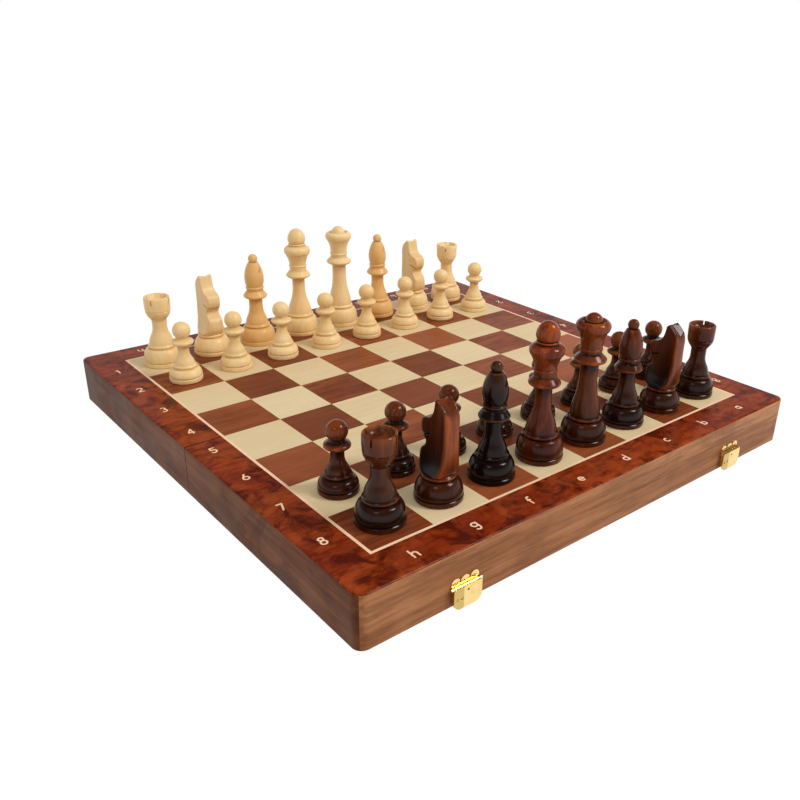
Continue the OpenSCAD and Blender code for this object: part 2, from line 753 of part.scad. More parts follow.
module front_outer_rail() {
    color(walnut) front() difference() {
        outer_rail();
        at_base_screws(plate_t) dome_screw(fit_gap);
    }
}
module front_side_rails() { color(walnut) front() side_rails(); }
module front_seam_rail() { color(walnut) front() seam_rail(); }
module front_board_panel() { color(plywood) front() board_panel(); }
module front_border_veneer() { color(bubinga) border_veneer(0); }
module front_light_squares() { color(maple) squares(0, 1); }
module front_dark_squares() { color(darkwood) squares(0, 0); }
module front_inlay() { color(stringing) inlay(0); }
module front_felt_lining() { color(feltgreen) front() felt_lining(); }
module front_hinge_leaves() { color(brass) front() hinge_leaves(false); }
module front_screws() {
    color(bronze) front() {
        at_leaf_screws() flat_screw();
        at_base_screws(plate_t) dome_screw();
    }
}
module latch_bases() {
    color(brass) front() for (h = [-1, 1]) translate([h * latch_x, 0, 0]) latch_base();
}
module latch_pins() {
    color(bronze) front() for (h = [-1, 1])
        translate([h * latch_x, side_half + latch_pin_off, latch_pin_z]) rotate([0, 90, 0])
            cylinder(r = latch_pin_r, h = 2 * roll_half_w, center = true);
}
module left_latch_flap() { color(brass) front() translate([-latch_x, 0, 0]) latch_flap(); }
module right_latch_flap() { color(brass) front() translate([latch_x, 0, 0]) latch_flap(); }

// The knights of both sides look at the other side.
rear_outer_rail();
rear_side_rails();
rear_seam_rail();
rear_board_panel();
rear_border_veneer();
rear_light_squares();
rear_dark_squares();
rear_inlay();
rear_felt_lining();
rear_hinge_leaves();
hinge_pins();
rear_screws();
catch_plates();
front_outer_rail();
front_side_rails();
front_seam_rail();
front_board_panel();
front_border_veneer();
front_light_squares();
front_dark_squares();
front_inlay();
front_felt_lining();
front_hinge_leaves();
front_screws();
latch_bases();
latch_pins();
left_latch_flap();
right_latch_flap();
color(boxwood) on_square(0, light_back) rook(42);  // light_rook_h1
color(boxwood) on_square(1, light_back) rotate(-90) knight();  // light_knight_g1
color(boxwood) on_square(2, light_back) bishop();  // light_bishop_f1
color(boxwood) on_square(3, light_back) king();  // light_king_e1
color(boxwood) on_square(4, light_back) queen();  // light_queen_d1
color(boxwood) on_square(5, light_back) bishop();  // light_bishop_c1
color(boxwood) on_square(6, light_back) rotate(-90) knight();  // light_knight_b1
color(boxwood) on_square(7, light_back) rook(42);  // light_rook_a1
color(boxwood) on_square(0, light_front) pawn();  // light_pawn_h2
color(boxwood) on_square(1, light_front) pawn();  // light_pawn_g2
color(boxwood) on_square(2, light_front) pawn();  // light_pawn_f2
color(boxwood) on_square(3, light_front) pawn();  // light_pawn_e2
color(boxwood) on_square(4, light_front) pawn();  // light_pawn_d2
color(boxwood) on_square(5, light_front) pawn();  // light_pawn_c2
color(boxwood) on_square(6, light_front) pawn();  // light_pawn_b2
color(boxwood) on_square(7, light_front) pawn();  // light_pawn_a2
color(stained) on_square(0, dark_back) rook(27);  // dark_rook_h8
color(stained) on_square(1, dark_back) rotate(90) knight();  // dark_knight_g8
color(stained) on_square(2, dark_back) bishop();  // dark_bishop_f8
color(stained) on_square(3, dark_back) king();  // dark_king_e8
color(stained) on_square(4, dark_back) queen();  // dark_queen_d8
color(stained) on_square(5, dark_back) bishop();  // dark_bishop_c8
color(stained) on_square(6, dark_back) rotate(90) knight();  // dark_knight_b8
color(stained) on_square(7, dark_back) rook(27);  // dark_rook_a8
color(stained) on_square(0, dark_front) pawn();  // dark_pawn_h7
color(stained) on_square(1, dark_front) pawn();  // dark_pawn_g7
color(stained) on_square(2, dark_front) pawn();  // dark_pawn_f7
color(stained) on_square(3, dark_front) pawn();  // dark_pawn_e7
color(stained) on_square(4, dark_front) pawn();  // dark_pawn_d7
color(stained) on_square(5, dark_front) pawn();  // dark_pawn_c7
color(stained) on_square(6, dark_front) pawn();  // dark_pawn_b7
color(stained) on_square(7, dark_front) pawn();  // dark_pawn_a7
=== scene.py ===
import math

import bpy
import numpy as np
from mathutils import Matrix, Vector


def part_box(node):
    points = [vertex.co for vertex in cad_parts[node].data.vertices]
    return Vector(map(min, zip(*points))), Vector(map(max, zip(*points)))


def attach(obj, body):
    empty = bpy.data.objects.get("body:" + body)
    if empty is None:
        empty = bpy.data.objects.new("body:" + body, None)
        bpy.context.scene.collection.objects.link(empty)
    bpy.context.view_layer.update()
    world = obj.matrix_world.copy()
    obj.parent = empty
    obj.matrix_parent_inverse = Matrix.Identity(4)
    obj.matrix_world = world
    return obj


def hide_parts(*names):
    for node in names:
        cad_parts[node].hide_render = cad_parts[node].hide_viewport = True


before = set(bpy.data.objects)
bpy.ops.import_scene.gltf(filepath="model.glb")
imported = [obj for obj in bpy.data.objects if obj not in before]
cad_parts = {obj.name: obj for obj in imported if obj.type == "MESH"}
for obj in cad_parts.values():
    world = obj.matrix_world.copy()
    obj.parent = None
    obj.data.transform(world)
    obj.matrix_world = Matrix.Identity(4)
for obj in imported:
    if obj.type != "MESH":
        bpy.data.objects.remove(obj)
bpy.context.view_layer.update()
mm = 0.001
squareSide = 43.5 * mm

# ---- view: where the photo was taken from, solved from the corners of the squares
photoView = {
    "turn": -40.7018, "tilt": 24.4150, "roll": 1.5636,      # degrees
    "across": -0.44749, "up": 0.43724, "away": 15.5102,     # in squares, from the board's middle
    "square": squareSide, "boardTop": 37.2 * mm,
    "focalPixels": 831.284, "middle": (446.312, 400.501), "imageSize": 800,
    "sensor": 36, "nearest": 0.01,
}


def placeCamera(v):
    # the camera's axes are right, up and back; the roll turns the first two about the third
    turn, tilt, roll = (math.radians(v[k]) for k in ("turn", "tilt", "roll"))
    back = np.array([math.sin(turn) * math.cos(tilt), -math.cos(turn) * math.cos(tilt), math.sin(tilt)])
    right = np.array([math.cos(turn), math.sin(turn), 0.0])
    up = np.cross(back, right)
    axes = np.array([math.cos(roll) * right + math.sin(roll) * up,
                     math.cos(roll) * up - math.sin(roll) * right, back])
    spot = -v["across"] * axes[0] - v["up"] * axes[1] + v["away"] * axes[2]
    spot = spot * v["square"] + [0, 0, v["boardTop"]]
    data = bpy.data.cameras.new("photoCamera")
    data.sensor_width = v["sensor"]
    data.lens = v["sensor"] * v["focalPixels"] / v["imageSize"]
    data.shift_x = 0.5 - v["middle"][0] / v["imageSize"]
    data.shift_y = v["middle"][1] / v["imageSize"] - 0.5
    data.clip_start = v["nearest"]
    camera = bpy.data.objects.new("photoCamera", data)
    bpy.context.scene.collection.objects.link(camera)
    matrix = Matrix.Identity(4)
    for row in range(3):
        for column in range(3):
            matrix[row][column] = axes[column][row]
        matrix[row][3] = spot[row]
    camera.matrix_world = matrix
    bpy.context.scene.camera = camera


placeCamera(photoView)
bpy.context.scene.view_settings.view_transform = "Standard"


# ---- node helpers
def colour(r, g, b):
    # a colour as it looks on screen, 0 to 255, to linear light
    c = np.array([r, g, b]) / 255
    linear = np.where(c <= 0.04045, c / 12.92, ((c + 0.055) / 1.055) ** 2.4)
    return (*[float(x) for x in linear], 1.0)


def addNode(tree, kind, place=(0, 0), **settings):
    node = tree.nodes.new(kind)
    node.location = place
    for key, value in settings.items():
        setattr(node, key, value)
    return node


def join(tree, source, target):
    tree.links.new(source, target)


def mathNode(tree, operation, first, second=None, third=None):
    node = addNode(tree, "ShaderNodeMath", operation=operation)
    for socket, value in zip(node.inputs, (first, second, third)):
        if value is None:
            continue
        if isinstance(value, (int, float)):
            socket.default_value = value
        else:
            join(tree, value, socket)
    return node.outputs[0]


def noiseNode(tree, vector, scale, detail=3, rough=0.55, distortion=0.0):
    node = addNode(tree, "ShaderNodeTexNoise")
    node.inputs["Scale"].default_value = scale
    node.inputs["Detail"].default_value = detail
    node.inputs["Roughness"].default_value = rough
    node.inputs["Distortion"].default_value = distortion
    join(tree, vector, node.inputs["Vector"])
    return node.outputs["Fac"]


def rangeNode(tree, value, low, high, outLow=0.0, outHigh=1.0):
    node = addNode(tree, "ShaderNodeMapRange", clamp=True, interpolation_type="SMOOTHSTEP")
    for key, number in (("From Min", low), ("From Max", high), ("To Min", outLow), ("To Max", outHigh)):
        node.inputs[key].default_value = number
    join(tree, value, node.inputs["Value"])
    return node.outputs["Result"]


def mixColour(tree, factor, first, second, blend="MIX"):
    node = addNode(tree, "ShaderNodeMix", data_type="RGBA", blend_type=blend, clamp_factor=True)
    for socket, value in ((node.inputs[0], factor), (node.inputs[6], first), (node.inputs[7], second)):
        if isinstance(value, (int, float, tuple)):
            socket.default_value = value
        else:
            join(tree, value, socket)
    return node.outputs[2]


def newGroup(name, inputs, outputs):
    group = bpy.data.node_groups.new(name, "ShaderNodeTree")
    for label, kind, value in inputs:
        socket = group.interface.new_socket(label, in_out="INPUT", socket_type="NodeSocket" + kind)
        if value is not None:
            socket.default_value = value
    for label, kind in outputs:
        group.interface.new_socket(label, in_out="OUTPUT", socket_type="NodeSocket" + kind)
    return group, addNode(group, "NodeGroupInput").outputs, addNode(group, "NodeGroupOutput").inputs


def buildGrainGroup():
    # Sawn wood: long soft bands, fine streaks and short dark pores, all drawn out along the grain.
    # Stretch holds the number of features per metre along X, Y and Z.
    group, given, made = newGroup(
        "sawnGrain",
        [("Vector", "Vector", None), ("Stretch", "Vector", (4, 60, 60)), ("Light", "Color", None),
         ("Middle", "Color", None), ("Dark", "Color", None), ("Streaks", "Float", 0.5),
         ("Pores", "Float", 0.3)],
        [("Colour", "Color"), ("Height", "Float")])
    scaled = addNode(group, "ShaderNodeVectorMath", operation="MULTIPLY")
    join(group, given["Vector"], scaled.inputs[0])
    join(group, given["Stretch"], scaled.inputs[1])
    vector = scaled.outputs[0]
    bands = rangeNode(group, noiseNode(group, vector, 0.55, 3, 0.5, 0.6), 0.3, 0.7)
    streaks = rangeNode(group, noiseNode(group, vector, 3.2, 5, 0.65, 0.3), 0.38, 0.66)
    pores = rangeNode(group, noiseNode(group, vector, 11, 2, 0.5), 0.6, 0.74)
    base = mixColour(group, bands, given["Light"], given["Middle"])
    streakShare = mathNode(group, "MULTIPLY", streaks, given["Streaks"])
    streaked = mixColour(group, streakShare, base, given["Dark"])
    poreShare = mathNode(group, "MULTIPLY", pores, given["Pores"])
    join(group, mixColour(group, poreShare, streaked, given["Dark"]), made["Colour"])
    depth = mathNode(group, "ADD", streakShare, poreShare)
    join(group, mathNode(group, "SUBTRACT", 1.0, depth), made["Height"])
    return group


def buildSquareGroup():
    # One random tone for each square of the board, and a shift that breaks the grain between squares.
    group, given, made = newGroup(
        "squareTone", [("Vector", "Vector", None), ("Square", "Float", squareSide), ("Seed", "Float", 0.0)],
        [("Tone", "Float"), ("Tone 2", "Float"), ("Vector", "Vector")])
    split = addNode(group, "ShaderNodeSeparateXYZ")
    join(group, given["Vector"], split.inputs[0])
    cell = addNode(group, "ShaderNodeCombineXYZ")
    for axis in (0, 1):
        step = mathNode(group, "FLOOR", mathNode(group, "DIVIDE", split.outputs[axis], given["Square"]))
        join(group, mathNode(group, "ADD", step, 0.5), cell.inputs[axis])
    join(group, given["Seed"], cell.inputs[2])
    noise = addNode(group, "ShaderNodeTexWhiteNoise", noise_dimensions="3D")
    join(group, cell.outputs[0], noise.inputs["Vector"])
    join(group, noise.outputs["Value"], made["Tone"])
    parts = addNode(group, "ShaderNodeSeparateColor")
    join(group, noise.outputs["Color"], parts.inputs[0])
    join(group, parts.outputs[1], made["Tone 2"])
    shift = addNode(group, "ShaderNodeVectorMath", operation="ADD")
    join(group, given["Vector"], shift.inputs[0])
    join(group, noise.outputs["Color"], shift.inputs[1])
    join(group, shift.outputs[0], made["Vector"])
    return group


def buildHandlingGroup():
    # Slow uneven sheen of a hand-rubbed lacquer, with small dimples.
    group, given, made = newGroup(
        "rubbedLacquer", [("Vector", "Vector", None), ("Scale", "Float", 40.0), ("Low", "Float", 0.2),
                          ("High", "Float", 0.35)], [("Roughness", "Float"), ("Height", "Float")])
    cloudy = addNode(group, "ShaderNodeTexNoise")
    join(group, given["Vector"], cloudy.inputs["Vector"])
    join(group, given["Scale"], cloudy.inputs["Scale"])
    cloudy.inputs["Detail"].default_value = 3
    spread = mathNode(group, "SUBTRACT", given["High"], given["Low"])
    share = rangeNode(group, cloudy.outputs["Fac"], 0.3, 0.7)
    join(group, mathNode(group, "MULTIPLY_ADD", share, spread, given["Low"]), made["Roughness"])
    dimple = addNode(group, "ShaderNodeTexNoise")
    join(group, given["Vector"], dimple.inputs["Vector"])
    join(group, mathNode(group, "MULTIPLY", given["Scale"], 9.0), dimple.inputs["Scale"])
    dimple.inputs["Detail"].default_value = 1
    join(group, dimple.outputs["Fac"], made["Height"])
    return group


def buildPartingShadeGroup():
    # 1 in a thin line along the parting between the halves, where shade is painted over the gap
    group, given, made = newGroup(
        "paintedPartingShade", [("Vector", "Vector", None), ("Width", "Float", 0.7 * mm)], [("Mask", "Float")])
    split = addNode(group, "ShaderNodeSeparateXYZ")
    join(group, given["Vector"], split.inputs[0])
    away = mathNode(group, "DIVIDE", mathNode(group, "ABSOLUTE", split.outputs[1]), given["Width"])
    join(group, rangeNode(group, away, 0.6, 1.4, 1.0, 0.0), made["Mask"])
    return group


grainGroup = buildGrainGroup()
squareGroup = buildSquareGroup()
lacquerGroup = buildHandlingGroup()
partingShadeGroup = buildPartingShadeGroup()
print("stage: camera and node groups ready")


def groupNode(tree, group, **values):
    node = addNode(tree, "ShaderNodeGroup")
    node.node_tree = group
    for key, value in values.items():
        socket = node.inputs[key]
        if isinstance(value, (int, float, tuple)):
            socket.default_value = value
        else:
            join(tree, value, socket)
    return node.outputs


def newMaterial(name):
    material = bpy.data.materials.new(name)
    material.use_nodes = True
    tree = material.node_tree
    shader = tree.nodes["Principled BSDF"]
    place = addNode(tree, "ShaderNodeTexCoord", (-900, 0)).outputs["Object"]
    return material, tree, shader, place


def bump(tree, shader, height, strength, distance):
    node = addNode(tree, "ShaderNodeBump")
    node.inputs["Strength"].default_value = strength
    node.inputs["Distance"].default_value = distance
    join(tree, height, node.inputs["Height"])
    join(tree, node.outputs[0], shader.inputs["Normal"])


# shares of grain and dimples in the relief, its usual strength and its depth
lacquerRelief = {"sheenScale": 30.0, "grain": 0.7, "dimples": 0.3, "bump": 0.15, "depth": 0.12 * mm}


def lacquered(name, look):
    # One wood under lacquer. With "square" each square of the board gets its own tone.
    material, tree, shader, place = newMaterial(name)
    vector, tile = place, None
    if look.get("square"):
        tile = groupNode(tree, squareGroup, Vector=place, Square=squareSide, Seed=look["seed"])
        vector = tile["Vector"]
    grain = groupNode(tree, grainGroup, Vector=vector, Stretch=look["stretch"], Light=look["light"],
                      Middle=look["middle"], Dark=look["dark"], Streaks=look["streaks"], Pores=look["pores"])
    tint = grain["Colour"]
    if tile:
        share = mathNode(tree, "MULTIPLY", tile["Tone"], look["toneShare"])
        tint = mixColour(tree, share, tint, look["toneColour"])
        share2 = mathNode(tree, "MULTIPLY", tile["Tone 2"], look["toneShare"] * look["toneRest"])
        tint = mixColour(tree, share2, tint, look["toneColour2"])
    if look.get("mottle"):
        # dark patches, pale glowing patches of a slower noise, and painted shade in a thin line along the
        # parting
        patch = rangeNode(tree, noiseNode(tree, place, look["mottleScale"], 4, 0.6, 1.2), *look["mottleSpan"])
        tint = mixColour(tree, mathNode(tree, "MULTIPLY", patch, look["mottle"]), tint, look["mottleColour"])
        slow = noiseNode(tree, place, look["mottleScale"] * 0.7, 3, 0.6, 0.8)
        glow = rangeNode(tree, slow, *look["glowSpan"])
        tint = mixColour(tree, mathNode(tree, "MULTIPLY", glow, look["glow"]), tint, look["glowColour"])
        line = groupNode(tree, partingShadeGroup, Vector=place)["Mask"]
        tint = mixColour(tree, mathNode(tree, "MULTIPLY", line, look["partingShadeShare"]), tint, look["partingShadeColour"])
    join(tree, tint, shader.inputs["Base Color"])
    lacquer = groupNode(tree, lacquerGroup, Vector=place, Scale=lacquerRelief["sheenScale"],
                        Low=look["rough"][0], High=look["rough"][1])
    join(tree, lacquer["Roughness"], shader.inputs["Roughness"])
    height = mathNode(tree, "ADD", mathNode(tree, "MULTIPLY", grain["Height"], lacquerRelief["grain"]),
                      mathNode(tree, "MULTIPLY", lacquer["Height"], lacquerRelief["dimples"]))
    bump(tree, shader, height, look.get("bump", lacquerRelief["bump"]), lacquerRelief["depth"])
    shader.inputs["Specular IOR Level"].default_value = look["specular"]
    return material


woodLooks = {
    "mapleSquares": {"light": colour(230, 208, 166), "middle": colour(225, 200, 154),
                     "dark": colour(208, 178, 126), "stretch": (14.0, 150.0, 150.0), "streaks": 0.3,
                     "pores": 0.12, "rough": (0.3, 0.42),
                     "square": True, "seed": 3.0, "toneShare": 0.4, "toneRest": 0.8,
                     "toneColour": colour(233, 210, 170), "toneColour2": colour(216, 188, 140),
                     "specular": 0.15, "bump": 0.06},
    "redwoodSquares": {"light": colour(162, 84, 46), "middle": colour(134, 60, 28),
                       "dark": colour(74, 28, 12), "stretch": (10.0, 110.0, 110.0), "streaks": 0.75,
                       "pores": 0.5, "rough": (0.28, 0.4),
                       "square": True, "seed": 8.0, "toneShare": 0.7, "toneRest": 0.8,
                       "toneColour": colour(176, 96, 52), "toneColour2": colour(84, 34, 18),
                       "specular": 0.15, "bump": 0.06},
    "borderVeneer": {"light": colour(158, 64, 22), "middle": colour(132, 44, 12), "dark": colour(72, 16, 4),
                     "stretch": (26.0, 80.0, 80.0), "streaks": 0.55, "pores": 0.35, "rough": (0.2, 0.3),
                     "mottle": 0.85, "mottleScale": 55.0, "mottleSpan": (0.46, 0.64),
                     "mottleColour": colour(70, 14, 4), "glow": 0.5, "glowColour": colour(168, 76, 28),
                     "glowSpan": (0.52, 0.7), "partingShadeColour": colour(40, 10, 4), "partingShadeShare": 0.75,
                     "specular": 0.12, "bump": 0.04},
    "paleInlay": {"light": colour(250, 214, 178), "middle": colour(246, 204, 164),
                  "dark": colour(228, 178, 134), "stretch": (30.0, 120.0, 120.0), "streaks": 0.3,
                  "pores": 0.1, "rough": (0.3, 0.4),
                  "specular": 0.15, "bump": 0.04},
    "railsAlongX": {"light": colour(190, 130, 86), "middle": colour(158, 100, 60), "dark": colour(92, 50, 26),
                    "stretch": (6.0, 95.0, 95.0), "streaks": 0.55, "pores": 0.45, "rough": (0.36, 0.48),
                    "mottle": 0.4, "mottleScale": 12.0, "mottleSpan": (0.48, 0.68),
                    "mottleColour": colour(110, 64, 36), "glow": 0.2, "glowColour": colour(204, 148, 104),
                    "glowSpan": (0.52, 0.7), "partingShadeColour": colour(50, 26, 14), "partingShadeShare": 0.75,
                    "specular": 0.12},
    # side rails: walnut like the rails along X, but painted darker as the shade that falls on the left rail
    "sideRailsPaintedShade": {"light": colour(132, 80, 46), "middle": colour(106, 58, 31), "dark": colour(58, 27, 13),
                    "stretch": (95.0, 6.0, 95.0), "streaks": 0.55, "pores": 0.4, "rough": (0.36, 0.48),
                    "mottle": 0.55, "mottleScale": 20.0, "mottleSpan": (0.46, 0.64),
                    "mottleColour": colour(70, 40, 26), "glow": 0.2, "glowColour": colour(150, 104, 76),
                    "glowSpan": (0.52, 0.7), "partingShadeColour": colour(40, 20, 12), "partingShadeShare": 0.75,
                    "specular": 0.05},
    "plainBoard": {"light": colour(206, 176, 132), "middle": colour(190, 158, 114),
                   "dark": colour(150, 116, 76), "stretch": (10.0, 120.0, 120.0), "streaks": 0.4,
                   "pores": 0.3, "rough": (0.5, 0.6),
                   "specular": 0.2},
}
woods = {name: lacquered(name, look) for name, look in woodLooks.items()}


def turnedWood(name, look):
    # Wood of the men. Each man carries his own tone, warmth and grain shift in the attribute manLook.
    material, tree, shader, place = newMaterial(name)
    own = addNode(tree, "ShaderNodeAttribute", attribute_type="GEOMETRY", attribute_name="manLook")
    parts = addNode(tree, "ShaderNodeSeparateColor")
    join(tree, own.outputs["Color"], parts.inputs[0])
    tone, warmth, shift = parts.outputs
    moved = addNode(tree, "ShaderNodeVectorMath", operation="ADD")
    join(tree, place, moved.inputs[0])
    offset = addNode(tree, "ShaderNodeCombineXYZ")
    for socket in offset.inputs:
        join(tree, shift, socket)
    join(tree, offset.outputs[0], moved.inputs[1])
    grain = groupNode(tree, grainGroup, Vector=moved.outputs[0], Stretch=look["stretch"], Light=look["light"],
                      Middle=look["middle"], Dark=look["dark"], Streaks=look["streaks"], Pores=look["pores"])
    warm = mixColour(tree, warmth, grain["Colour"], look["warm"], "MULTIPLY")
    join(tree, mixColour(tree, tone, warm, look["deep"]), shader.inputs["Base Color"])
    lacquer = groupNode(tree, lacquerGroup, Vector=place, Scale=look["sheenScale"],
                        Low=look["rough"][0], High=look["rough"][1])
    join(tree, lacquer["Roughness"], shader.inputs["Roughness"])
    bump(tree, shader, grain["Height"], look["bump"], 0.1 * mm)
    shader.inputs["Specular IOR Level"].default_value = look["specular"]
    return material


# deep is the colour at tone 1; warm multiplies the wood's colour at warmth 1
menLooks = {
    "boxwoodMen": {"light": colour(253, 231, 178), "middle": colour(249, 220, 160),
                   "dark": colour(228, 180, 112), "stretch": (110.0, 110.0, 8.0), "streaks": 0.2,
                   "pores": 0.08, "rough": (0.26, 0.38),
                   "specular": 0.3, "sheenScale": 60.0, "bump": 0.06, "deep": colour(190, 134, 78),
                   "warm": colour(244, 214, 176)},
    "stainedMen": {"light": colour(168, 92, 40), "middle": colour(98, 43, 17), "dark": colour(38, 14, 6),
                   "stretch": (110.0, 110.0, 9.0), "streaks": 0.45, "pores": 0.25, "rough": (0.14, 0.22),
                   "specular": 0.22, "sheenScale": 50.0, "bump": 0.05, "deep": colour(22, 8, 5),
                   "warm": colour(255, 190, 150)},
}
menWoods = {name: turnedWood(name, look) for name, look in menLooks.items()}


def brassMaterial(name, look):
    # Polished sheet brass: cloudy roughness, faint tarnish in slow patches and fine rubbing marks.
    material, tree, shader, place = newMaterial(name)
    cloud = noiseNode(tree, place, look["cloud"], 4, 0.6)
    tint = mixColour(tree, rangeNode(tree, cloud, 0.4, 0.75), look["bright"], look["tarnish"])
    if look.get("leftShadeShare"):
        # the left part of each latch plate is painted a darker olive tone, as shade
        split = addNode(tree, "ShaderNodeSeparateXYZ")
        join(tree, place, split.inputs[0])
        away = mathNode(tree, "MULTIPLY", mathNode(tree, "SIGN", split.outputs[0]), look["latchX"])
        local = mathNode(tree, "SUBTRACT", split.outputs[0], away)
        leftShade = rangeNode(tree, local, *look["leftShadeEdge"], look["leftShadeShare"], 0.0)
        tint = mixColour(tree, leftShade, tint, look["leftShadeColour"])
    join(tree, tint, shader.inputs["Base Color"])
    join(tree, rangeNode(tree, cloud, 0.3, 0.7, *look["rough"]), shader.inputs["Roughness"])
    shader.inputs["Metallic"].default_value = 1.0
    bump(tree, shader, noiseNode(tree, place, 500, 2), 0.05, 0.02 * mm)
    return material


metalLooks = {
    "polishedBrass": {"bright": colour(252, 220, 150), "tarnish": colour(236, 196, 116), "cloud": 90.0,
                      "rough": (0.08, 0.16)},
    "latchBrassLeftShade": {"bright": colour(252, 220, 150), "tarnish": colour(236, 196, 116), "cloud": 90.0,
                   "rough": (0.08, 0.16), "leftShadeShare": 0.6, "leftShadeColour": colour(178, 146, 58),
                   "leftShadeEdge": (-3.4 * mm, -2.8 * mm), "latchX": 131 * mm},
    "screwBrass": {"bright": colour(226, 184, 104), "tarnish": colour(180, 130, 64), "cloud": 300.0,
                   "rough": (0.2, 0.35)},
    "pinSteel": {"bright": colour(196, 190, 180), "tarnish": colour(150, 142, 130), "cloud": 300.0,
                 "rough": (0.3, 0.45)},
}
metals = {name: brassMaterial(name, look) for name, look in metalLooks.items()}

feltLook = {"pile": colour(28, 92, 62), "shade": colour(14, 58, 38), "grain": 900.0}


def feltMaterial(look):
    material, tree, shader, place = newMaterial("feltLining")
    fibre = noiseNode(tree, place, look["grain"], 4, 0.7, 0.5)
    join(tree, mixColour(tree, rangeNode(tree, fibre, 0.35, 0.7), look["pile"], look["shade"]),
         shader.inputs["Base Color"])
    shader.inputs["Roughness"].default_value = 0.95
    shader.inputs["Specular IOR Level"].default_value = 0.1
    shader.inputs["Sheen Weight"].default_value = 0.3
    shader.inputs["Sheen Roughness"].default_value = 0.5
    bump(tree, shader, fibre, 0.5, 0.3 * mm)
    return material


felt = feltMaterial(feltLook)


def dress(nodeName, material):
    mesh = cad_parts[nodeName].data
    mesh.materials.clear()
    mesh.materials.append(material)


for half in ("rear", "front"):
    dress(half + "_outer_rail", woods["railsAlongX"])
    dress(half + "_seam_rail", woods["railsAlongX"])
    dress(half + "_side_rails", woods["sideRailsPaintedShade"])
    dress(half + "_board_panel", woods["plainBoard"])
    dress(half + "_border_veneer", woods["borderVeneer"])
    dress(half + "_light_squares", woods["mapleSquares"])
    dress(half + "_dark_squares", woods["redwoodSquares"])
    dress(half + "_inlay", woods["paleInlay"])
    dress(half + "_felt_lining", felt)
    dress(half + "_hinge_leaves", metals["polishedBrass"])
    dress(half + "_screws", metals["screwBrass"])
for name in ("catch_plates", "latch_bases"):
    dress(name, metals["polishedBrass"])
for name in ("left_latch_flap", "right_latch_flap"):
    dress(name, metals["latchBrassLeftShade"])
for name in ("hinge_pins", "latch_pins"):
    dress(name, metals["pinSteel"])
print("stage: materials on the packed nodes")


# ---- surfaces
sharpAngle = math.radians(32)


def addPiece(name, points, faces, material):
    mesh = bpy.data.meshes.new(name)
    mesh.from_pydata(points.tolist(), [], faces)
    mesh.materials.append(material)
    mesh.shade_smooth()
    mesh.set_sharp_from_angle(angle=sharpAngle)
    mesh.update()
    piece = bpy.data.objects.new(name, mesh)
    bpy.context.scene.collection.objects.link(piece)
    return piece


def ringFaces(rows, columns):
    # quads between neighbouring rings, and a fan at each pole; the poles are the two last points
    i, j = np.meshgrid(np.arange(rows - 1), np.arange(columns), indexing="ij")
    k = (j + 1) % columns
    quads = np.stack([i * columns + j, i * columns + k, (i + 1) * columns + k, (i + 1) * columns + j], -1)
    j = np.arange(columns)
    k = (j + 1) % columns
    low = np.stack([np.full(columns, rows * columns), k, j], -1)
    last = (rows - 1) * columns
    high = np.stack([np.full(columns, rows * columns + 1), last + j, last + k], -1)
    return quads.reshape(-1, 4), np.concatenate([low, high])


def arcRun(middle, radius, start, stop, count=9):
    # points of a circle: middle plus radius times the cosine and sine of evenly spaced angles
    a = np.radians(np.linspace(start, stop, count))[:, None]
    return np.array(middle) + radius * np.concatenate([np.cos(a), np.sin(a)], 1)


def bend(a, b, c, d, count=14):
    # points of a cubic curve between a and d, drawn towards b and c
    t = np.linspace(0, 1, count)[:, None]
    u = 1 - t
    a, b, c, d = (np.array(p, float) for p in (a, b, c, d))
    return u ** 3 * a + 3 * u * u * t * b + 3 * u * t * t * c + t ** 3 * d


def evenAngles(columns):
    return np.linspace(0, 2 * np.pi, columns, endpoint=False)


def turnedGrid(outline, angles):
    # each outline point (radius, height) goes round the axis: x = r cos a, y = r sin a, z = height
    r, z = outline[:, 0][:, None], outline[:, 1][:, None]
    return np.stack([r * np.cos(angles), r * np.sin(angles), z + 0 * angles], -1)


def closeGrid(grid, low, high, shadeAndTone):
    # stain and painted light: one number for each grid point, more than 0 where stain or painted shade makes
    # the colour darker
    rows, columns = grid.shape[:2]
    quads, triangles = ringFaces(rows, columns)
    shadeAndTone = np.broadcast_to(shadeAndTone, (rows, columns)).ravel()
    return (np.concatenate([grid.reshape(-1, 3), [low, high]]), quads.tolist() + triangles.tolist(),
            np.concatenate([shadeAndTone, [shadeAndTone[0], shadeAndTone[-1]]]))


# near in millimetres, turns in radians; the rest say how much darker or paler a place gets: grooves, the
# mouth and the bishop's slit get painted shade, rims a painted highlight, the knight's sawn sides and turned
# back stain
shadeAndToneAmounts = {"near": 0.9, "grooveFrom": 0.15, "groove": 0.9, "rimFrom": 0.35, "rim": 0.6,
          "sawnSide": 0.3, "turnedBack": 1.3, "mouth": 2.0, "slitShade": 1.6, "middleHeight": 0.45}


def paintedRimGrooveLight(outline):
    # Turning of the outline within about a millimetre: rims turn outwards and get a painted highlight,
    # grooves turn inwards and get painted shade.
    step = np.diff(outline, axis=0)
    angle = np.unwrap(np.arctan2(step[:, 1], step[:, 0]))
    along = np.concatenate([[0], np.cumsum(np.hypot(step[:, 0], step[:, 1]))])
    turning = np.concatenate([[0], np.diff(angle), [0]])
    near = np.exp(-((along[:, None] - along) / shadeAndToneAmounts["near"]) ** 2)
    bent = near @ turning
    grooves = np.clip(-bent - shadeAndToneAmounts["grooveFrom"], 0, 1)
    rims = np.clip(bent - shadeAndToneAmounts["rimFrom"], 0, 1)
    return (shadeAndToneAmounts["groove"] * grooves - shadeAndToneAmounts["rim"] * rims)[:, None]


